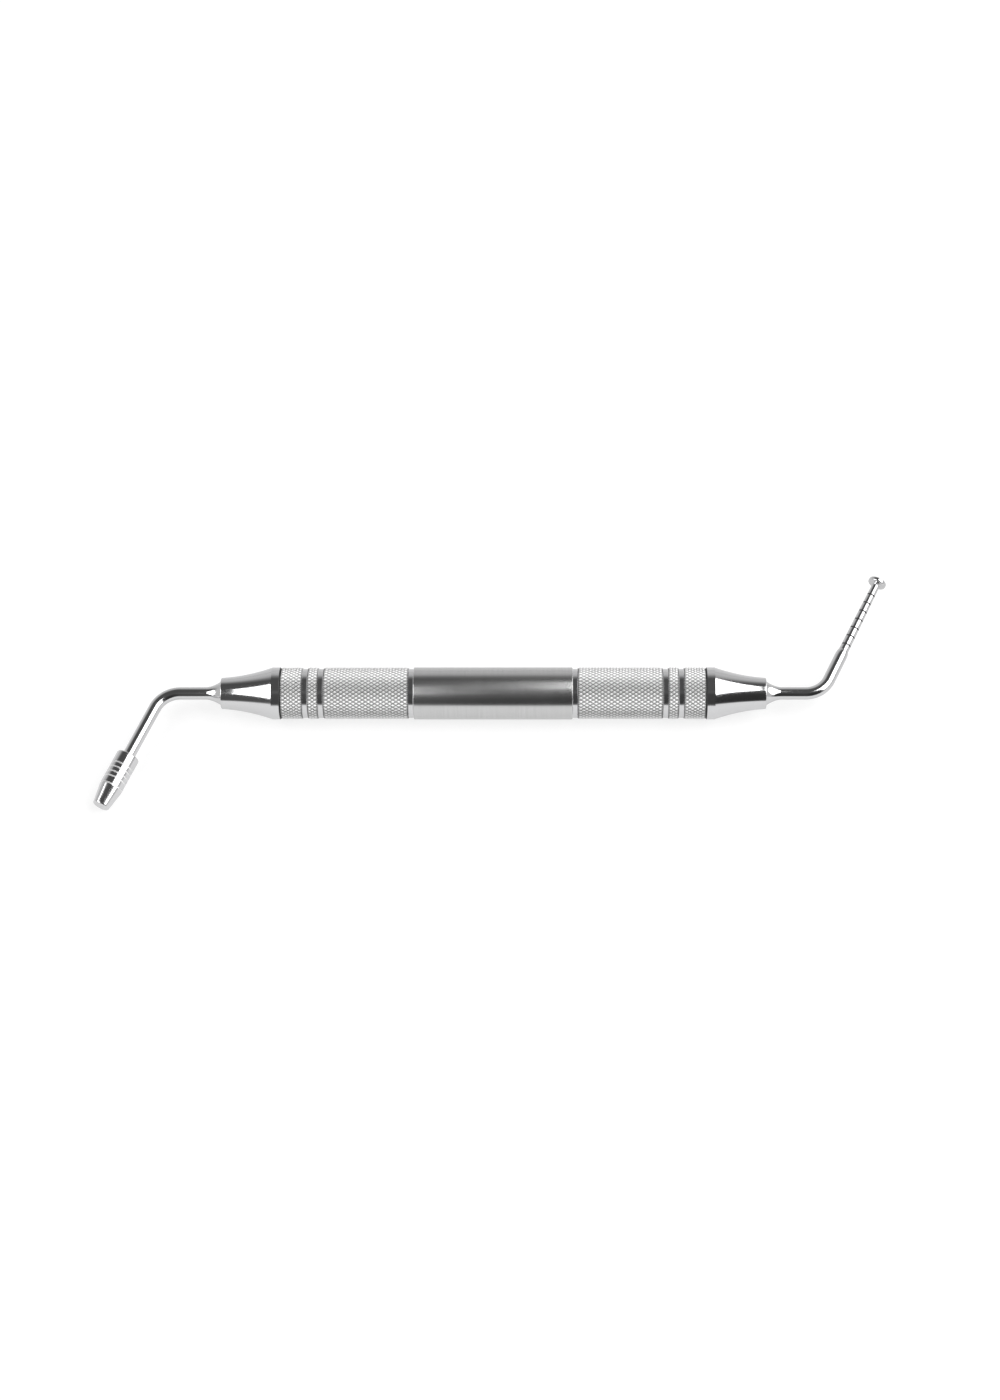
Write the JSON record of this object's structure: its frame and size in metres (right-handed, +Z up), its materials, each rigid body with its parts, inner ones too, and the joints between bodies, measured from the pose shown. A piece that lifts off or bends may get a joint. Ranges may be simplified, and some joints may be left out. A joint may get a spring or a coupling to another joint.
{
  "type": "bone packer",
  "caption": "Double-ended bone packer: hollow knurled handle with polished end cones and bent tips, a bullet head at one end, a graduated rod with a small disc at the other.",
  "frame": {"origin": "on the surface the instrument lies on, under the middle of the handle", "axes": "+X along the handle towards the narrow tip, +Y to the side that the narrow tip bends to, +Z up"},
  "size_m": [0.1519, 0.0485, 0.0101],
  "materials": {
    "handle_steel": "satin, with fine circumferential turning lines and a bright diamond knurl",
    "polished_steel": "mirror polished stainless steel",
    "tip_steel": "mirror polished stainless steel"
  },
  "bodies": {
    "root": {"handle_tube": "handle_steel", "wide_end_cone": "polished_steel", "narrow_end_cone": "polished_steel", "wide_packer_tip": "tip_steel", "narrow_packer_tip": "tip_steel"}
  },
  "joints": []
}
